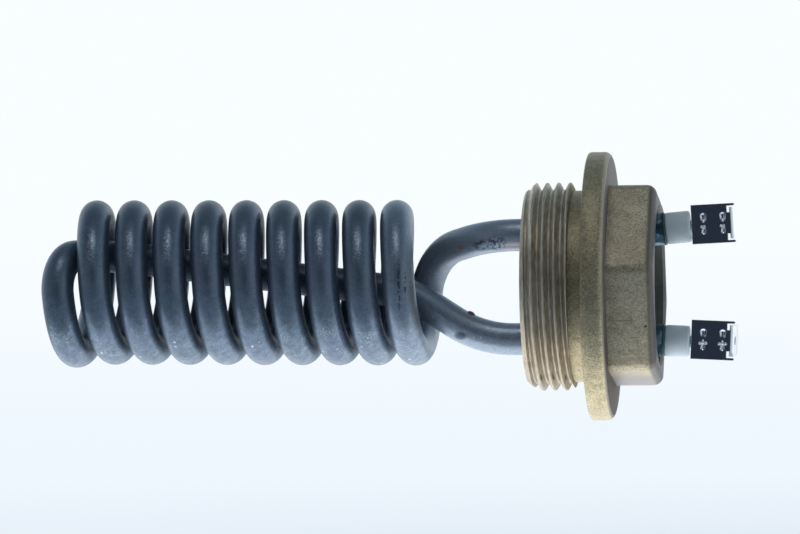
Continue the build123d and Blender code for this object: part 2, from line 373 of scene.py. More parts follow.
def grain_group():
    """The height of a fine grain, over a ripple that is several times coarser."""
    ripple_share = 0.22
    tree, given, out = effect_group(
        "grain", {"Vector": "Vector", "Scale": "Float", "Coarse Share": "Float"}, {"Height": "Float"}
    )
    fine = noise(tree, given["Vector"], given["Scale"], detail=3.0)
    coarse = noise(tree, given["Vector"], times(tree, given["Scale"], ripple_share))
    inputs = {"Factor": given["Coarse Share"], "A": fine, "B": coarse}
    tree.links.new(node(tree, "Mix", inputs, data_type="FLOAT").outputs["Result"], out["Height"])
    return tree


def spot_group():
    """A soft oval mark round a place: 1 in its middle and 0 from its edge on."""
    middle_share = 0.4
    tree, given, out = effect_group(
        "spot", {"Vector": "Vector", "Centre": "Vector", "Half Size": "Vector"}, {"Mask": "Float"}
    )
    apart = node(tree, "VectorMath", {0: given["Vector"], 1: given["Centre"]}, operation="SUBTRACT")
    shares = node(tree, "VectorMath", {0: apart.outputs[0], 1: given["Half Size"]}, operation="DIVIDE")
    away = node(tree, "VectorMath", {0: shares.outputs[0]}, operation="LENGTH")
    tree.links.new(ramp(tree, away.outputs["Value"], 1.0, middle_share), out["Mask"])
    return tree


blotches = blotches_group()
grain = grain_group()
spot = spot_group()


def new_material(name, **shader):
    """A material; gives it with its node tree, its shader and the object's coordinates."""
    material = bpy.data.materials.new(name)
    material.use_nodes = True
    tree = material.node_tree
    principled = tree.nodes["Principled BSDF"]
    for label, value in shader.items():
        principled.inputs[label].default_value = value
    return material, tree, principled, node(tree, "TexCoord").outputs["Object"]


def blotched(tree, place, first, second, scale, low=0.3, high=0.7):
    """A colour that drifts between two tones; low and high say where the clouds change over."""
    inputs = {"Vector": place, "Scale": scale, "Low": low, "High": high, "First": first, "Second": second}
    return node(tree, "Group", inputs, node_tree=blotches).outputs["Color"]


def grained(tree, place, scale, coarse_share):
    inputs = {"Vector": place, "Scale": scale, "Coarse Share": coarse_share}
    return node(tree, "Group", inputs, node_tree=grain).outputs["Height"]


def marked(tree, tone, place, marks, broken=1.0):
    """Lays small marks over a colour: (centre, half size, tone, strength), in millimetres."""
    for centre, half, shade, strength in marks:
        inputs = {"Vector": place, "Centre": [c * MM for c in centre], "Half Size": [h * MM for h in half]}
        mask = node(tree, "Group", inputs, node_tree=spot).outputs["Mask"]
        tone = mixed_colour(tree, times(tree, times(tree, mask, strength), broken), tone, shade)
    return tone


def zoned(tree, tone, place, zones):
    """Lays tones over whole stretches: (axis, start and end in millimetres, tone, strength)."""
    axes = split(tree, place)
    for axis, start, end, shade, strength in zones:
        tone = mixed_colour(tree, along(tree, axes[axis], start, end, 0.0, strength), tone, shade)
    return tone


def finish(tree, shader, tone, skin, bump, depth, shine):
    """Gives a shader its colour, a relief this many millimetres deep, and its roughness."""
    relief = node(tree, "Bump", {"Height": skin, "Strength": bump, "Distance": depth * MM})
    tree.links.new(tone, shader.inputs["Base Color"])
    tree.links.new(relief.outputs["Normal"], shader.inputs["Normal"])
    tree.links.new(spread(tree, skin, 0.0, 1.0, *shine), shader.inputs["Roughness"])


TURNED_TONES = (colour(0.455, 0.412, 0.338), colour(0.63, 0.575, 0.478))
LATHE_STRETCH = (6.0, 0.6, 0.6)
# Painted light: a warmer, darker tint on the lower side of the thread.
WARM_LIGHT_TINT = (0.86, 0.80, 0.71)
WARM_LIGHT_FROM_TO = (-3.0, -15.0)
WARM_LIGHT_STRENGTH = 0.55
THREAD_NICKS = [
    ((x, -10.3, z), (0.24, 4.0, 1.1), colour(0.05, 0.05, 0.04), 0.9)
    for x, z in ((-9.3, -18.2), (-6.9, -18.2), (-4.5, -18.3))
]
RIM_TONES = (colour(0.342, 0.294, 0.194), colour(0.395, 0.343, 0.228))
# Painted light: the rim is lightened low down, where the light from below falls.
RIM_PAINTED_LIGHT = 1.4
RIM_PAINTED_LIGHT_FROM_TO = (-2.0, -13.0)
# Painted shade: a darker band on the flange's outer edge.
RIM_EDGE_SHADE = (("X", 4.0, 4.4, colour(0.25, 0.22, 0.185), 1.0),)
HEX_TONES = (colour(0.415, 0.358, 0.255), colour(0.53, 0.463, 0.340))
# A greyer tone along the lowest corner, then painted shade on the rounding and the face of the outer end.
HEX_ZONES_AND_END_SHADE = (
    ("Z", -17.2, -18.6, colour(0.30, 0.275, 0.285), 0.85),
    ("X", 12.2, 13.0, colour(0.155, 0.145, 0.118), 1.0),
    ("X", 13.4, 13.8, colour(0.115, 0.105, 0.11), 1.0),
)
HEX_MARKS = (
    ((7.7, -18.0, -6.8), (3.8, 5.0, 0.14), colour(0.20, 0.19, 0.15), 0.7),
    ((12.2, -18.0, -7.9), (0.4, 5.0, 0.35), colour(0.06, 0.06, 0.05), 0.9),
)
RECESS_TONES = (colour(0.12, 0.125, 0.115), colour(0.21, 0.21, 0.19))
# Painted shade: the flange's outer face runs from its dark tone to a dark brown low down.
FLANGE_FACE_TONE_AND_SHADE = (colour(0.175, 0.16, 0.15), colour(0.085, 0.066, 0.052))
FLANGE_FACE_SHADE_FROM_TO = (0.0, -19.0)
OUTER_SIDE_FROM_TO = (3.0, 4.0)
OUTER_SIDE_END_FROM_TO = (6.0, 5.0)


def turned_brass():
    """Tool marks run round the plug, under a grey-olive tarnish, and painted light makes it warmer and
    darker low down.
    """
    material, tree, shader, place = new_material("plug_turned_brass", Metallic=0.9)
    tone = blotched(tree, place, *TURNED_TONES, scale=220.0)
    stretched = node(tree, "Mapping", {"Vector": place, "Scale": LATHE_STRETCH}).outputs["Vector"]
    lines = noise(tree, stretched, scale=900.0, detail=4.0)
    tone = lightened(tree, tone, spread(tree, lines, 0.34, 0.66, low=0.75, high=1.25))
    # Painted light: the lower side takes a warmer, darker tint, standing in for the warmer light from
    # below.
    painted_warm_light = node(tree, "VectorMath", {0: tone, 1: WARM_LIGHT_TINT}, operation="MULTIPLY").outputs["Vector"]
    low = along(tree, split(tree, place)["Z"], *WARM_LIGHT_FROM_TO, high=WARM_LIGHT_STRENGTH)
    tone = marked(tree, mixed_colour(tree, low, tone, painted_warm_light), place, THREAD_NICKS)
    finish(tree, shader, tone, lines, bump=0.6, depth=0.1, shine=(0.36, 0.56))
    return material


def blasted_skin(name, tones):
    """A new material of dull olive brass with fine pale and dark pits, and its tone and skin."""
    material, tree, shader, place = new_material(name, Metallic=0.9)
    skin = grained(tree, place, scale=2900.0, coarse_share=0.25)
    tone = blotched(tree, place, *tones, scale=150.0, low=0.35, high=0.68)
    tone = lightened(tree, tone, spread(tree, skin, 0.36, 0.64, low=0.66, high=1.38))
    return material, tree, shader, place, tone, skin


def rim_brass():
    """The flange's rim and sealing face, with painted light low down and painted shade on the outer edge.
    """
    material, tree, shader, place, tone, skin = blasted_skin("plug_rim_brass", RIM_TONES)
    # Painted light: lighter low down.
    low = along(tree, split(tree, place)["Z"], *RIM_PAINTED_LIGHT_FROM_TO)
    tone = mixed_colour(tree, low, tone, lightened(tree, tone, RIM_PAINTED_LIGHT))
    # Painted shade on the flange's outer edge.
    tone = zoned(tree, tone, place, RIM_EDGE_SHADE)
    finish(tree, shader, tone, skin, bump=0.9, depth=0.16, shine=(0.38, 0.56))
    return material


def hexagon_brass():
    """The hexagon, with painted shade round its outer end, and a scratch and a nick on the flat in front.
    """
    material, tree, shader, place, tone, skin = blasted_skin("plug_cast_brass", HEX_TONES)
    # The zones bring the painted shade round the outer end.
    tone = marked(tree, zoned(tree, tone, place, HEX_ZONES_AND_END_SHADE), place, HEX_MARKS)
    finish(tree, shader, tone, skin, bump=0.9, depth=0.16, shine=(0.38, 0.56))
    return material


def recess_brass():
    """The recess and the flange's outer side keep a dark film from the furnace, and painted shade darkens
    the outer side low down.
    """
    material, tree, shader, place = new_material("plug_recess_brass", Metallic=0.7)
    axes = split(tree, place)
    outer_side = times(
        tree, along(tree, axes["X"], *OUTER_SIDE_FROM_TO), along(tree, axes["X"], *OUTER_SIDE_END_FROM_TO)
    )
    # Painted shade on the flange's outer face, darker low down.
    face = mixed_colour(tree, along(tree, axes["Z"], *FLANGE_FACE_SHADE_FROM_TO), *FLANGE_FACE_TONE_AND_SHADE)
    tone = mixed_colour(tree, outer_side, blotched(tree, place, *RECESS_TONES, scale=160.0), face)
    skin = grained(tree, place, scale=3000.0, coarse_share=0.5)
    finish(tree, shader, tone, skin, bump=0.5, depth=0.1, shine=(0.5, 0.7))
    return material


bm = bmesh.new()
plug_skin(bm)
plug = piece_from(bm, "screw_plug", [turned_brass(), rim_brass(), hexagon_brass(), recess_brass()])
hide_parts("plug_body")

# Sheathed tube: one long tube of heat-resistant alloy, filled, drawn down and bent round a mandrel.
# Annealing leaves it a dark slate blue, paler on the legs. A highlight is painted along the outside of the
# turns, shade on their tops and light on the upper leg's bend; it is flecked and scuffed underneath, and
# water has run down the last turn.

ANNEALED_TONES = (colour(0.106, 0.156, 0.208), colour(0.152, 0.203, 0.268))
VIOLET_TONE = colour(0.152, 0.180, 0.275)
LAST_TURN = ("X", -45.0, -38.5, colour(0.205, 0.258, 0.333), 0.9)
LEGS_FROM_TO = (-36.8, -26.0)
LEGS = ("X", *LEGS_FROM_TO, colour(0.31, 0.37, 0.45), 1.0)
STREAKS_FROM_TO = (4.0, -16.0)
DRY_END_FROM_TO = (0.0, 4.0)
DRY_END_TONES = (colour(0.045, 0.10, 0.14), colour(0.34, 0.46, 0.64))
SHEATH_MARKS = (
    ((-14.5, -2.6, 8.2), (4.0, 4.0, 1.9), colour(0.42, 0.385, 0.42), 0.75),
    ((-26.3, -3.0, 8.0), (1.0, 9.0, 0.85), colour(0.36, 0.23, 0.17), 0.75),
    ((-26.2, -3.0, -9.7), (1.7, 9.0, 1.1), colour(0.05, 0.07, 0.11), 0.85),
)
SHEATH_SCRATCHES = (
    ((-21.9, -3.0, 8.6), (2.3, 9.0, 1.5), colour(0.04, 0.06, 0.09), 0.85),
    ((-18.8, -3.0, 8.9), (2.6, 9.0, 1.9), colour(0.04, 0.06, 0.09), 0.85),
    ((-36.9, -16.0, 0.7), (0.42, 5.0, 7.5), colour(0.02, 0.03, 0.05), 0.75),
    ((-35.7, -16.0, 1.1), (0.36, 5.0, 3.6), colour(0.04, 0.06, 0.09), 0.8),
)
FLECK_TONE = colour(0.66, 0.72, 0.78)
FLECK_CELLS = 640.0
FLECKS_FROM_TO = (-6.0, -11.0)
# Painted shade on the tops of the turns.
CROWN_SHADE_TONE = colour(0.065, 0.095, 0.135)
CROWN_SHADE_FROM_TO = (10.0, 18.0)
CROWN_SHADE_ENDS_FROM_TO = (-38.5, -43.0)
CROWN_SHADE_STRENGTH = 0.7
COIL_TILT = 0.0108
COIL_AXIS_Z = 0.72
# Painted highlight along the outermost ridge of the turns.
RIDGE_FROM_TO = (16.55, 16.74)
RIDGE_HIGHLIGHT_TONE = colour(0.50, 0.55, 0.61)
RIDGE_HIGHLIGHT_FROM_TO = (4.5, 7.5)
RIDGE_HIGHLIGHT_ENDS_FROM_TO = (14.0, 10.5)
RIDGE_HIGHLIGHT_STRENGTH = 0.48
SCUFF_TONE = colour(0.55, 0.60, 0.66)
SCUFFS_FROM_TO = (-3.0, -9.0)
SCUFF_STRENGTH = 0.42
BEND_START_FROM_TO = (-36.3, -35.0)
BEND_END_FROM_TO = (-21.5, -27.5)
BEND_LOW_FROM_TO = (0.0, 2.0)
# Painted light: less metallic on the upper leg's bend, to lighten its shade.
BARE_METALLIC = 0.75
BEND_FILL_METALLIC = 0.25


def annealed(tree, place, axes):
    """Slate blue with violet patches, paler on the last turn and the legs, streaked underneath."""
    tone = blotched(tree, place, *ANNEALED_TONES, scale=180.0)
    tone = blotched(tree, place, tone, VIOLET_TONE, scale=75.0, low=0.45, high=0.75)
    tone = zoned(tree, tone, place, (LAST_TURN, LEGS))
    streaks = noise(tree, place, scale=800.0, detail=6.0, roughness=0.7)
    calm = along(tree, axes["X"], *LEGS_FROM_TO, low=1.0, high=0.3)
    strength = times(tree, along(tree, axes["Z"], *STREAKS_FROM_TO, low=0.25), calm)
    swing = times(tree, spread(tree, streaks, 0.38, 0.62, low=-0.17, high=0.26), strength)
    return lightened(tree, tone, reckoned(tree, "ADD", swing, 1.0))


def smeared_dry_end(tree, tone, place, axes):
    """Past the web, the sheath is dark with pale smears of the sealing compound."""
    smears = ramp(tree, noise(tree, place, scale=420.0, detail=4.0), 0.48, 0.62)
    smeared = mixed_colour(tree, smears, *DRY_END_TONES)
    return mixed_colour(tree, along(tree, axes["X"], *DRY_END_FROM_TO), tone, smeared)


def flecked(tree, tone, place, axes):
    """Small pale flecks of lime on the underside: a few of a net's cells have one each."""
    cells = node(tree, "TexVoronoi", {"Vector": place, "Scale": FLECK_CELLS}).outputs
    chosen = ramp(tree, split(tree, cells["Color"])["X"], 0.70, 0.97)
    fleck = times(tree, ramp(tree, cells["Distance"], 0.22, 0.10), chosen)
    fleck = times(tree, fleck, along(tree, axes["Z"], *FLECKS_FROM_TO))
    return mixed_colour(tree, fleck, tone, FLECK_TONE)


def crown_painted_shade(tree, tone, axes):
    """Painted shade: the tops of the turns, but not of the last one, are darker."""
    crown_shade = times(
        tree, along(tree, axes["Z"], *CROWN_SHADE_FROM_TO), along(tree, axes["X"], *CROWN_SHADE_ENDS_FROM_TO)
    )
    return mixed_colour(tree, times(tree, crown_shade, CROWN_SHADE_STRENGTH), tone, CROWN_SHADE_TONE)


def ridge_painted_highlight(tree, tone, place, axes, scratch_and_glint_grain):
    """A painted highlight on the outermost ridge of the turns, found by its distance from their axis."""
    over_axis = node(tree, "VectorMath", {0: place, 1: (COIL_TILT, 0.0, 1.0)}, operation="DOT_PRODUCT")
    height = reckoned(tree, "SUBTRACT", over_axis.outputs["Value"], COIL_AXIS_Z * MM)
    across = node(tree, "CombineXYZ", {"Y": axes["Y"], "Z": height}).outputs["Vector"]
    radius = node(tree, "VectorMath", {0: across}, operation="LENGTH").outputs["Value"]
    ridge = times(tree, along(tree, radius, *RIDGE_FROM_TO), along(tree, axes["Z"], *RIDGE_HIGHLIGHT_FROM_TO))
    ridge = times(tree, ridge, along(tree, axes["Z"], *RIDGE_HIGHLIGHT_ENDS_FROM_TO))
    mask = times(tree, ridge, ramp(tree, scratch_and_glint_grain, 0.45, 0.62, high=RIDGE_HIGHLIGHT_STRENGTH))
    return mixed_colour(tree, mask, tone, RIDGE_HIGHLIGHT_TONE)


def scuffed(tree, tone, place, axes, scratch_and_glint_grain):
    """Faint scuffs in patches on the underside of the turns."""
    patches = ramp(tree, noise(tree, place, scale=280.0), 0.48, 0.66)
    mask = times(tree, patches, ramp(tree, scratch_and_glint_grain, 0.46, 0.72, high=SCUFF_STRENGTH))
    mask = times(tree, mask, along(tree, axes["Z"], *SCUFFS_FROM_TO))
    return mixed_colour(tree, mask, tone, SCUFF_TONE)


def bend_painted_fill(tree, axes):
    """How metallic the sheath is: less on the upper leg's bend, where its diffuse colour lifts the dark as
    painted light.
    """
    bend = times(
        tree, along(tree, axes["X"], *BEND_START_FROM_TO), along(tree, axes["X"], *BEND_END_FROM_TO)
    )
    bend = times(tree, bend, along(tree, axes["Z"], *BEND_LOW_FROM_TO))
    return spread(tree, bend, 0.0, 1.0, low=BARE_METALLIC, high=BEND_FILL_METALLIC)


def sheath_metal():
    material, tree, shader, place = new_material("sheath_metal")
    axes = split(tree, place)
    tone = smeared_dry_end(tree, annealed(tree, place, axes), place, axes)
    tone = marked(tree, tone, place, SHEATH_MARKS)
    broken = ramp(tree, noise(tree, place, scale=1500.0, detail=3.0), 0.46, 0.54)
    tone = marked(tree, tone, place, SHEATH_SCRATCHES, broken)
    tone = crown_painted_shade(tree, flecked(tree, tone, place, axes), axes)
    # One fine grain breaks up both the painted highlight and the scuffs.
    scratch_and_glint_grain = noise(tree, place, scale=2600.0, detail=4.0)
    tone = ridge_painted_highlight(tree, tone, place, axes, scratch_and_glint_grain)
    tone = scuffed(tree, tone, place, axes, scratch_and_glint_grain)
    dust = noise(tree, place, scale=4200.0)
    tone = lightened(tree, tone, spread(tree, dust, 0.38, 0.62, low=0.88, high=1.13))
    tree.links.new(bend_painted_fill(tree, axes), shader.inputs["Metallic"])
    skin = grained(tree, place, scale=2600.0, coarse_share=0.5)
    finish(tree, shader, tone, skin, bump=0.75, depth=0.12, shine=(0.31, 0.45))
    return material


def dress(name, material):
    """Gives a solid of the frame its material."""
    slots = nodes[name].data.materials
    slots.clear()
    slots.append(material)


dress("sheath_tube", sheath_metal())

# Filling, winding and cold pins: white magnesia powder is packed hard round a helix of resistance
# wire, which is welded to two solid steel pins. All of it is inside the sheath, but for the pins'
# ends between bead and tab.

MAGNESIA_TONES = (colour(0.86, 0.85, 0.82), colour(0.93, 0.92, 0.89))
WINDING_TONES = (colour(0.34, 0.32, 0.30), colour(0.44, 0.42, 0.40))
PIN_TONES = (colour(0.16, 0.17, 0.20), colour(0.28, 0.30, 0.34))


def plain_finish(name, tones, blotch_scale, grain_scale, depth, shine, **shader_values):
    """A two-toned material with a fine grain, this many millimetres deep."""
    material, tree, shader, place = new_material(name, **shader_values)
    tone = blotched(tree, place, *tones, scale=blotch_scale)
    skin = grained(tree, place, grain_scale, coarse_share=0.35)
    finish(tree, shader, tone, skin, bump=0.5, depth=depth, shine=shine)
    return material


dress("magnesia_fill", plain_finish(
    "magnesia", MAGNESIA_TONES, blotch_scale=300.0, grain_scale=5000.0, depth=0.04, shine=(0.8, 0.95)))
dress("resistance_winding", plain_finish(
    "winding_alloy", WINDING_TONES, blotch_scale=600.0, grain_scale=4000.0, depth=0.02,
    shine=(0.35, 0.5), Metallic=1.0))
pin_steel = plain_finish(
    "pin_steel", PIN_TONES, blotch_scale=500.0, grain_scale=4000.0, depth=0.02, shine=(0.3, 0.45),
    Metallic=1.0)
for side in SIDES:
    dress("cold_pin_" + side, pin_steel)

# Brazing: a fillet of brazing metal, drawn into the joint by heat, where the tube leaves each face
# of the plug's web. It is dull, with a pinkish cast.

BRAZE_TONES = (colour(0.42, 0.30, 0.22), colour(0.55, 0.45, 0.34))

braze_metal = plain_finish(
    "braze_metal", BRAZE_TONES, blotch_scale=700.0, grain_scale=2500.0, depth=0.08, shine=(0.4, 0.6),
    Metallic=1.0)
for face in ("wet", "dry"):
    for side in SIDES:
        dress("braze_" + face + "_" + side, braze_metal)

# Flux bead: a drop of flux that ran out of the brazing and burnt dark on the upper side of the
# lower leg.

FLUX_PLACE = (-24.2, -0.5, -5.3)
FLUX_HALF_SIZE = (0.85, 0.7, 0.48)
FLUX_TILT = 28.0
FLUX_TONES = (colour(0.13, 0.09, 0.13), colour(0.26, 0.15, 0.19))

bm = bmesh.new()
drop_shape = (
    Matrix.Translation(FLUX_PLACE)
    @ Matrix.Rotation(radians(FLUX_TILT), 4, "Y")
    @ Matrix.Diagonal((*FLUX_HALF_SIZE, 1.0))
)
bmesh.ops.create_icosphere(bm, subdivisions=4, radius=1.0, matrix=drop_shape)
burnt_flux = plain_finish(
    "burnt_flux", FLUX_TONES, blotch_scale=1800.0, grain_scale=3500.0, depth=0.08, shine=(0.4, 0.6))
flux = piece_from(bm, "flux_bead", [burnt_flux])

# End seals and beads: a dark green sealing compound closes each mouth of the tube. Its collar
# shows as a thin line under a small grey-green ceramic bead, which is slipped over the pin.

DRY_END_X = 14.8
SPREAD_X = 4.0
SPREAD_ANGLES = {"upper": 4.7, "lower": -2.9}
BEAD_STARTS = {"upper": 0.5, "lower": 0.03}
BEAD_LENGTH = 5.03
BEAD_R = 3.17
BEAD_EDGE = 0.45
BEAD_EDGE_ARC = (0, 30, 60, 90)
BEAD_STEPS = 64
PIN_HOLE_R = 1.2
COLLAR_LENGTH = 0.5
COLLAR_R = 3.34
COLLAR_INNER_R = 3.0
COLLAR_BULGE = 0.2
COLLAR_ARC = (-80, -45, 0, 45, 80)
SEAL_TONES = (colour(0.02, 0.06, 0.06), colour(0.03, 0.11, 0.10))
CERAMIC_TONES = (colour(0.60, 0.70, 0.75), colour(0.73, 0.82, 0.88))


def dry_end(side, outside):
    """The frame of a dry end, this far outside the sheath's mouth, with X along the tube."""
    angle = radians(SPREAD_ANGLES[side])
    run = (DRY_END_X - SPREAD_X) / cos(angle)
    root = Matrix.Translation((SPREAD_X, 0, SIDES[side] * LEG_Z))
    return root @ Matrix.Rotation(-angle, 4, "Y") @ Matrix.Translation((run + outside, 0, 0))


def turned_ring(bm, outline):
    """A closed ring from an outline that ends where it starts."""
    spun(bm, outline, BEAD_STEPS)
    bmesh.ops.remove_doubles(bm, verts=bm.verts[:], dist=MERGE_GAP)


def rounded_bead(bm):
    """The bead: a short cylinder with soft edges and a hole for the pin."""
    skin = [
        (BEAD_EDGE * (1 - cos(radians(a))), BEAD_R - BEAD_EDGE * (1 - sin(radians(a))))
        for a in BEAD_EDGE_ARC
    ]
    skin += [(BEAD_LENGTH - x, r) for x, r in reversed(skin)]
    start = (0.0, PIN_HOLE_R)
    turned_ring(bm, [start, *skin, (BEAD_LENGTH, PIN_HOLE_R), start])


def squeezed_collar(bm):
    """The compound that was pressed out over the sheath's mouth, with a bulging outside."""
    half = COLLAR_LENGTH / 2
    skin = [
        (half * sin(radians(a)), COLLAR_R - COLLAR_BULGE * (1 - cos(radians(a)))) for a in COLLAR_ARC
    ]
    start = (-half, COLLAR_INNER_R)
    turned_ring(bm, [start, *skin, (half, COLLAR_INNER_R), start])


seal_compound = plain_finish(
    "end_seal", SEAL_TONES, blotch_scale=500.0, grain_scale=3000.0, depth=0.03, shine=(0.35, 0.5))
bead_ceramic = plain_finish(
    "bead_ceramic", CERAMIC_TONES, blotch_scale=250.0, grain_scale=3500.0, depth=0.03,
    shine=(0.45, 0.6))
for side in SIDES:
    dress("end_seal_" + side, seal_compound)
    bm = bmesh.new()
    rounded_bead(bm)
    bmesh.ops.transform(bm, matrix=dry_end(side, BEAD_STARTS[side]), verts=bm.verts[:])
    bead = piece_from(bm, "bead_" + side, [bead_ceramic])
    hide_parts("insulating_bead_" + side)
    bm = bmesh.new()
    squeezed_collar(bm)
    mouth = dry_end(side, BEAD_STARTS[side] - COLLAR_LENGTH / 2)
    bmesh.ops.transform(bm, matrix=mouth, verts=bm.verts[:])
    collar = piece_from(bm, "seal_collar_" + side, [seal_compound])

# Tab terminals: stamped, bright plated sheet. A plate is welded across the pin by two pressed
# ribs, and its outer end is bent back as a blade for a push-on connector. The upper one was welded
# on a little askew. Along a tab, X runs outwards and the camera looks at its front.

TAB_BACK = -1.57
TAB_THICKNESS = 0.8
TAB_HALF = 3.95
TAB_ROOT = 7.2
TAB_LENGTH = 7.67
TAB_CELLS = 72
PRONG_INNER = 3.42
PRONG_END = 8.75
PRONG_CHAMFER = 0.25
PRONG_NARROWING = 0.6
NECK_HALF = 2.15
CELLS_ACROSS = ((0.0, NECK_HALF, 24), (NECK_HALF, PRONG_INNER, 12), (PRONG_INNER, TAB_HALF, 4))
BEND_R = 0.1
BEND_STEPS = 10
BLADE_HALF = 3.15
BLADE_LENGTH = 7.8
BLADE_TIP = 1.2
BLADE_HOLE_R = 0.93
BLADE_HOLE_STEPS = 32
BLADE_HOLE_FROM_TIP = 5.7
SHEARED_EDGE = 0.06
RIB_PLACES = (2.4, 6.3)
RIB_HALF = 1.25
RIB_R = 0.97
RIB_DEPTH = 0.4
DIMPLE_DEPTH = 0.06
PIT_MIDDLE = 1.6
PIT_DEPTH = 0.17
PIT_WALL = 0.3
PIT_SIDE_SLOPE = 0.5
PIT_LONG_SLOPE = 1.4
UPPER_PIT_R = 0.62
LOWER_PIT_R = 0.46
WELD_SPOTS = {
    "upper": ((0.0, 0.58, 0.26), (-0.4, -0.5, 0.24), (0.12, -0.48, 0.28)),
    "lower": ((-0.6, -0.66, 0.28), (0.0, -0.6, 0.32), (0.6, -0.62, 0.28), (0.0, -0.1, 0.16)),
}
WELD_HEIGHT = 0.13
TAB_POSES = {
    "upper": {"start": 5.8, "shift": 0.1, "askew": 2.2, "turn": 97.0},
    "lower": {"start": 5.4, "shift": 0.5, "askew": 0.0, "turn": 87.3},
}
SHEET_TONES = (colour(0.82, 0.88, 0.96), colour(0.88, 0.93, 0.98))
SHEARED_TONES = (colour(0.93, 0.95, 0.98), colour(0.98, 0.99, 1.0))
# Painted highlight: near-white glints on the weld's spatter.
WELD_GLINT_TONES = (colour(0.85, 0.88, 0.93), colour(0.98, 0.98, 1.0))
# Painted shade: the dark wall of the blade's hole.
HOLE_SHADE_TONES = (colour(0.03, 0.035, 0.045), colour(0.06, 0.07, 0.09))
SHEET, SHEARED, WELD_GLINT, HOLE_SHADE = range(4)


def smooth(share):
    share = min(1.0, max(0.0, share))
    return share * share * (3 - 2 * share)


def rib_share(x, z):
    """How deep the sheet is pressed here, from 0 beside a rib to 1 along its middle."""
    away = min(hypot(x - rib, max(0.0, abs(z) - RIB_HALF)) for rib in RIB_PLACES) / RIB_R
    return max(0.0, 1 - away * away) ** 1.5


def pit_depth(across, z):
    """An end pit of a rib: a steep round wall at the end, and a gentle slope towards the middle."""
    radius = UPPER_PIT_R if z > 0 else LOWER_PIT_R
    beyond = abs(z) - PIT_MIDDLE
    if beyond > 0:
        return PIT_DEPTH * smooth((radius - hypot(across, beyond)) / PIT_WALL)
    side_slope = smooth((radius - abs(across)) / PIT_SIDE_SLOPE)
    return PIT_DEPTH * side_slope * (1 - smooth(-beyond / PIT_LONG_SLOPE))


def weld_shares(x, z, side):
    """How near this place is to each spot of the weld's spatter: 1 in its middle, 0 at its edge."""
    return [
        1 - (hypot(x - rib - across, z - up) / radius) ** 2
        for rib in RIB_PLACES
        for across, up, radius in WELD_SPOTS[side]
    ]


def front_depth(x, z, side):
    """How deep the front of the plate lies here: ribs, their pits, and the spatter on them."""
    spatter = sum(WELD_HEIGHT * max(0.0, share) for share in weld_shares(x, z, side))
    return DIMPLE_DEPTH * rib_share(x, z) + sum(pit_depth(x - rib, z) for rib in RIB_PLACES) - spatter


def stretch_edges(bm, edges, x, narrowing=0.0):
    """Draws new faces from these edges to another x; gives the far edges."""
    out = bmesh.ops.extrude_edge_only(bm, edges=edges)["geom"]
    prong = (PRONG_INNER + TAB_HALF) / 2
    for v in out:
        if isinstance(v, bmesh.types.BMVert):
            v.co.x = x
            if narrowing:
                middle = prong if v.co.z > 0 else -prong
                v.co.z = middle + (v.co.z - middle) * (1 - narrowing)
    return edges_at([e for e in out if isinstance(e, bmesh.types.BMEdge)], x)


def end_edges(bm, x, low, high):
    """Edges across the sheet at this x, between two distances from its middle line."""
    return [e for e in edges_at(bm.edges, x) if low < abs(sum(v.co.z for v in e.verts)) / 2 < high]


def plate_grid(bm):
    """The flat plate, with finer cells near its middle, where the ribs are."""
    half = [start + (end - start) * k / count for start, end, count in CELLS_ACROSS for k in range(count)]
    half.append(TAB_HALF)
    across = [-z for z in reversed(half[1:])] + half
    bmesh.ops.create_grid(bm, x_segments=TAB_CELLS, y_segments=len(across) - 1, size=0.5)
    for v in bm.verts:
        row = round((v.co.y + 0.5) * (len(across) - 1))
        v.co = ((v.co.x + 0.5) * TAB_ROOT, 0, across[row])


def tab_blank(bm, bend_length):
    """The flat blank of a tab: plate with two prongs, neck, and blade with its hole."""
    plate_grid(bm)
    prongs = end_edges(bm, TAB_ROOT, PRONG_INNER, TAB_HALF)
    prongs = stretch_edges(bm, prongs, PRONG_END - PRONG_CHAMFER)
    stretch_edges(bm, prongs, PRONG_END, PRONG_NARROWING)
    reach = stretch_edges(bm, end_edges(bm, TAB_ROOT, 0.0, NECK_HALF), TAB_LENGTH)
    neck = sorted({v for e in reach for v in e.verts}, key=lambda v: v.co.z)
    for corner, z in ((neck[0], -BLADE_HALF), (neck[-1], BLADE_HALF)):
        reach.append(bm.edges.new((corner, bm.verts.new((TAB_LENGTH, 0, z)))))
    for step in range(1, BEND_STEPS + 1):
        reach = stretch_edges(bm, reach, TAB_LENGTH + bend_length * step / BEND_STEPS)
    tip = TAB_LENGTH + bend_length + BLADE_LENGTH
    upper = [(tip - BLADE_TIP, BLADE_HALF), (tip, BLADE_HALF - BLADE_TIP)]
    lower = [(x, -z) for x, z in reversed(upper)]
    ends = sorted({v for e in reach for v in e.verts}, key=lambda v: v.co.z)
    corners = [ends[-1], *(bm.verts.new((x, 0, z)) for x, z in upper + lower), ends[0]]
    rim = [bm.edges.new(pair) for pair in zip(corners, corners[1:])]
    hole_place = Matrix.Translation((tip - BLADE_HOLE_FROM_TIP, 0, 0)) @ Matrix.Rotation(pi / 2, 4, "X")
    hole = bmesh.ops.create_circle(
        bm, radius=BLADE_HOLE_R, segments=BLADE_HOLE_STEPS, matrix=hole_place)
    flat_fill(bm, reach, rim, loop_edges(hole["verts"]))


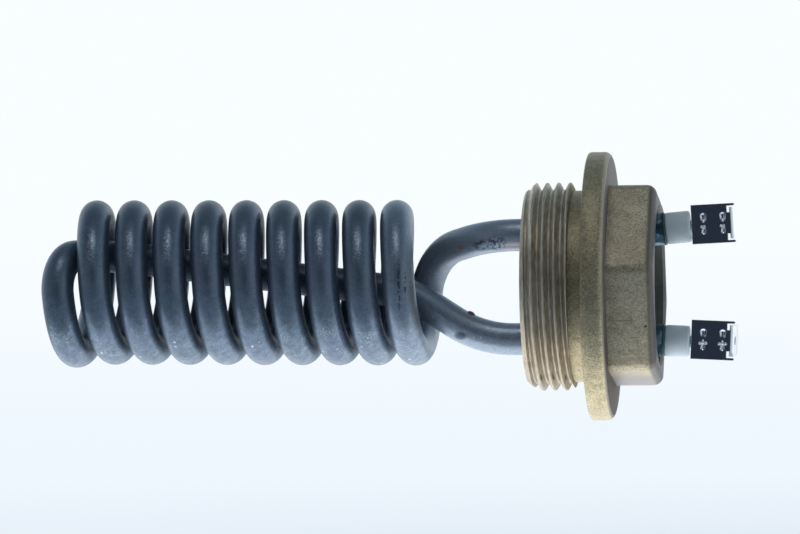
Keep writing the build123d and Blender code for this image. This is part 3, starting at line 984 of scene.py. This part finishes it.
def thick_sheet(bm, side, bend_length):
    """Gives the blank its thickness, its sheared walls and edges, and its paint, with painted shade on the
    hole's wall and painted highlights on the weld's spatter.
    """
    out = bmesh.ops.extrude_face_region(bm, geom=bm.faces[:], use_keep_orig=True)["geom"]
    front = {v for v in out if isinstance(v, bmesh.types.BMVert)}
    for v in front:
        v.co.y = -TAB_THICKNESS
    bmesh.ops.recalc_face_normals(bm, faces=bm.faces[:])
    hole_x = TAB_LENGTH + bend_length + BLADE_LENGTH - BLADE_HOLE_FROM_TIP
    for f in bm.faces:
        middle = f.calc_center_median()
        if abs(f.normal.y) < 0.5:
            # The hole's wall takes painted shade.
            in_hole = hypot(middle.x - hole_x, middle.z) < BLADE_HOLE_R + NEAR
            f.material_index = HOLE_SHADE if in_hole else SHEARED
    edges = [
        e for e in bm.edges
        if front.issuperset(e.verts) and sum(f.material_index == SHEARED for f in e.link_faces) == 1
    ]
    rounded = bmesh.ops.bevel(
        bm, geom=edges, offset=SHEARED_EDGE, offset_type="OFFSET", affect="EDGES", segments=2,
        profile=0.5, material=-1,
    )
    paint(rounded["faces"], SHEARED)
    # Painted highlight: the weld's spatter on the ribs takes near-white glints.
    for f in bm.faces:
        middle = f.calc_center_median()
        in_front = f.material_index == SHEET and middle.y < -TAB_THICKNESS / 2
        if in_front and max(weld_shares(middle.x, middle.z, side)) > 0:
            f.material_index = WELD_GLINT


def bent(flat, side, turn, bend_length):
    """Where a point of the flat, thick blank lies in the finished tab."""
    x, out, z = flat.x, -flat.y, flat.z
    if x <= TAB_LENGTH or abs(z) > PRONG_INNER - NEAR:
        share = out / TAB_THICKNESS
        pressed = front_depth(x, z, side) * share + RIB_DEPTH * rib_share(x, z) * (1 - share)
        return Vector((x, TAB_BACK - out + pressed, z))
    angle = turn * min(1.0, (x - TAB_LENGTH) / bend_length)
    radius = BEND_R + out
    run = max(0.0, x - TAB_LENGTH - bend_length)
    return Vector((
        TAB_LENGTH + radius * sin(angle) + run * cos(angle),
        TAB_BACK + BEND_R - radius * cos(angle) + run * sin(angle),
        z,
    ))


def tab_terminal(bm, side, start, shift, askew, turn):
    """A finished tab: its start outside the sheath's mouth, its shift upwards, and two angles."""
    turn = radians(turn)
    bend_length = (BEND_R + TAB_THICKNESS / 2) * turn
    tab_blank(bm, bend_length)
    thick_sheet(bm, side, bend_length)
    for v in bm.verts:
        v.co = bent(v.co, side, turn, bend_length)
    middle = Matrix.Translation((TAB_LENGTH / 2, 0, 0))
    skew = middle @ Matrix.Rotation(radians(askew), 4, "Y") @ middle.inverted()
    on_pin = dry_end(side, start) @ Matrix.Translation((0, 0, shift)) @ skew
    bmesh.ops.transform(bm, matrix=on_pin, verts=bm.verts[:])


tab_materials = [
    plain_finish("tab_plated", SHEET_TONES, blotch_scale=200.0, grain_scale=900.0, depth=0.01,
                 shine=(0.05, 0.1), Metallic=1.0),
    plain_finish("tab_sheared", SHEARED_TONES, blotch_scale=900.0, grain_scale=3000.0, depth=0.005,
                 shine=(0.3, 0.4), Metallic=0.0),
    plain_finish("tab_weld_glint", WELD_GLINT_TONES, blotch_scale=1600.0, grain_scale=3000.0, depth=0.03,
                 shine=(0.2, 0.35), Metallic=0.6),
    plain_finish("tab_hole_shade", HOLE_SHADE_TONES, blotch_scale=1200.0, grain_scale=3000.0, depth=0.01,
                 shine=(0.5, 0.7), Metallic=0.3),
]
for side, pose in TAB_POSES.items():
    bm = bmesh.new()
    tab_terminal(bm, side, **pose)
    tab = piece_from(bm, "tab_" + side, tab_materials)
    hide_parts("tab_terminal_" + side)

# Light tent: white cloth all round, bluer above, dimmer on the camera's side and overhead, and a
# little brighter on the right. Its opening, where the camera stands, is dark, and bright metal
# shows it. The camera itself sees an even pale ground. From here on, sizes are in metres.

GROUND_TOP = colour(0.945, 0.99, 1.0)
GROUND_LOW = colour(0.86, 0.93, 1.0)
GROUND_HEIGHTS = (-0.036, 0.004)
SKY_TONE = colour(0.70, 0.87, 1.0)
OPENING_TONE = colour(0.5, 0.68, 1.0)
CAMERA_SIDE_FROM_TO = (0.9, -0.6)
CAMERA_SIDE_LIGHT = 0.28
OVERHEAD_FROM_TO = (0.3, 0.9)
OVERHEAD_LIGHT = 0.38
RIGHT_FROM_TO = (0.4, 0.8)
RIGHT_LIGHT = 0.3
OPENING_FROM_TO = (-0.86, -0.975)
OPENING_LIGHT = 0.15
SKY_FROM_TO = (0.15, 0.6)

world = bpy.data.worlds.new("light_tent")
bpy.context.scene.world = world
world.use_nodes = True
tree = world.node_tree
tree.nodes.clear()
sight = split(tree, node(tree, "TexCoord").outputs["Generated"])
path = node(tree, "LightPath").outputs
seen = reckoned(tree, "MAXIMUM", path["Is Camera Ray"], path["Is Transmission Ray"])
round_about = ramp(tree, sight["Y"], *CAMERA_SIDE_FROM_TO, 1.0, CAMERA_SIDE_LIGHT)
cloth = times(tree, round_about, ramp(tree, sight["Z"], *OVERHEAD_FROM_TO, 1.0, OVERHEAD_LIGHT))
cloth = reckoned(tree, "ADD", cloth, ramp(tree, sight["X"], *RIGHT_FROM_TO, 0.0, RIGHT_LIGHT))
beside_opening = ramp(tree, sight["Y"], *OPENING_FROM_TO, 1.0, 0.0)
cloth = times(tree, cloth, spread(tree, beside_opening, 0.0, 1.0, OPENING_LIGHT, 1.0))
light = node(tree, "Mix", {"Factor": seen, "A": cloth, "B": 1.0}, data_type="FLOAT").outputs["Result"]
ground = mixed_colour(tree, spread(tree, sight["Z"], *GROUND_HEIGHTS), GROUND_LOW, GROUND_TOP)
overhead = times(tree, ramp(tree, sight["Z"], *SKY_FROM_TO), reckoned(tree, "SUBTRACT", 1.0, seen))
tone = mixed_colour(tree, overhead, ground, SKY_TONE)
tone = mixed_colour(tree, reckoned(tree, "MAXIMUM", seen, beside_opening), OPENING_TONE, tone)
tent = node(tree, "Background", {"Color": tone, "Strength": light})
node(tree, "OutputWorld", {"Surface": tent.outputs[0]})

# Floor: a round sheet of pale paper under the object, which takes its soft shadow. The camera sees
# most of its light as an even glow, less of it near the object, and its edge fades into the tent.

FLOOR_Z = -0.055
FLOOR_R = 0.45
FLOOR_STEPS = 96
FADE_START = 0.12
SHADOW_FROM_TO = (0.18, 0.08)
PAPER_TONES = (colour(0.80, 0.86, 0.93), colour(0.84, 0.90, 0.97))
GLOW_FAR_AND_NEAR = (0.9, 0.70)
SHARE_FAR_AND_NEAR = (0.9, 0.5)


def floor_paper():
    """Lit paper, of which the camera sees a share, with an even glow for the rest."""
    material, tree, shader, place = new_material("floor_paper", Roughness=0.9)
    tone = mixed_colour(tree, noise(tree, place, scale=900.0), *PAPER_TONES)
    tree.links.new(tone, shader.inputs["Base Color"])
    away = node(tree, "VectorMath", {0: place}, operation="LENGTH").outputs["Value"]
    near = ramp(tree, away, *SHADOW_FROM_TO)
    shown = spread(tree, near, 0.0, 1.0, *SHARE_FAR_AND_NEAR)
    strength = reckoned(tree, "DIVIDE", spread(tree, near, 0.0, 1.0, *GLOW_FAR_AND_NEAR), shown)
    glow = node(tree, "Emission", {"Color": GROUND_LOW, "Strength": strength}).outputs[0]
    camera_ray = node(tree, "LightPath").outputs["Is Camera Ray"]
    lit = node(tree, "MixShader", {0: times(tree, camera_ray, shown), 1: shader.outputs[0], 2: glow})
    clear = node(tree, "BsdfTransparent").outputs[0]
    far = ramp(tree, away, FADE_START, FLOOR_R)
    faded = node(tree, "MixShader", {0: far, 1: lit.outputs[0], 2: clear})
    tree.links.new(faded.outputs[0], tree.nodes["Material Output"].inputs["Surface"])
    return material


bm = bmesh.new()
bmesh.ops.create_circle(
    bm, cap_ends=True, radius=FLOOR_R, segments=FLOOR_STEPS, matrix=Matrix.Translation((0, 0, FLOOR_Z))
)
floor = object_from(bm, "floor", [floor_paper()])

# Lamps: a soft box above and in front, and a long low lamp that lights the object's underside as
# the white table does.


def soft_lamp(name, place, aim, size, brightness, tone):
    """A rectangular lamp that points at its aim, as bright as a surface of that radiance."""
    data = bpy.data.lights.new(name, "AREA")
    data.color = tone
    data.shape = "RECTANGLE"
    data.size, data.size_y = size
    data.energy = brightness * pi * size[0] * size[1]
    lamp = bpy.data.objects.new(name, data)
    lamp.location = place
    lamp.rotation_euler = (Vector(aim) - Vector(place)).to_track_quat("-Z", "Y").to_euler()
    lamp.visible_camera = False
    bpy.context.scene.collection.objects.link(lamp)


soft_lamp(
    "upper_softbox", place=(-0.04, -0.38, 0.7), aim=(-0.04, 0, 0), size=(0.27, 0.22), brightness=3.2,
    tone=(0.93, 0.97, 1.0))
soft_lamp(
    "table_lamp", place=(-0.04, 0.04, -0.052), aim=(-0.04, 0.04, 0), size=(0.3, 0.14), brightness=1.25,
    tone=(1.0, 1.0, 1.0))

# Camera: a long lens one metre in front, a little right of the middle and rolled slightly, as the
# lines of the photograph show.

CAMERA_PLACE = (0.08323, -0.99255, 0.00430)
CAMERA_SIGHT = (-0.12187, 0.99255, 0.0)
CAMERA_ROLL = 0.62
CAMERA_LENS = 222.48
CAMERA_SENSOR = 36.0
CAMERA_CLIP = (0.05, 50.0)

camera_data = bpy.data.cameras.new("camera")
camera_data.lens = CAMERA_LENS
camera_data.sensor_width = CAMERA_SENSOR
camera_data.clip_start, camera_data.clip_end = CAMERA_CLIP
camera = bpy.data.objects.new("camera", camera_data)
camera.location = CAMERA_PLACE
aimed = Vector(CAMERA_SIGHT).to_track_quat("-Z", "Y").to_matrix().to_4x4()
camera.rotation_euler = (aimed @ Matrix.Rotation(radians(-CAMERA_ROLL), 4, "Z")).to_euler()
bpy.context.scene.collection.objects.link(camera)
bpy.context.scene.camera = camera
bpy.context.scene.view_settings.view_transform = "Standard"
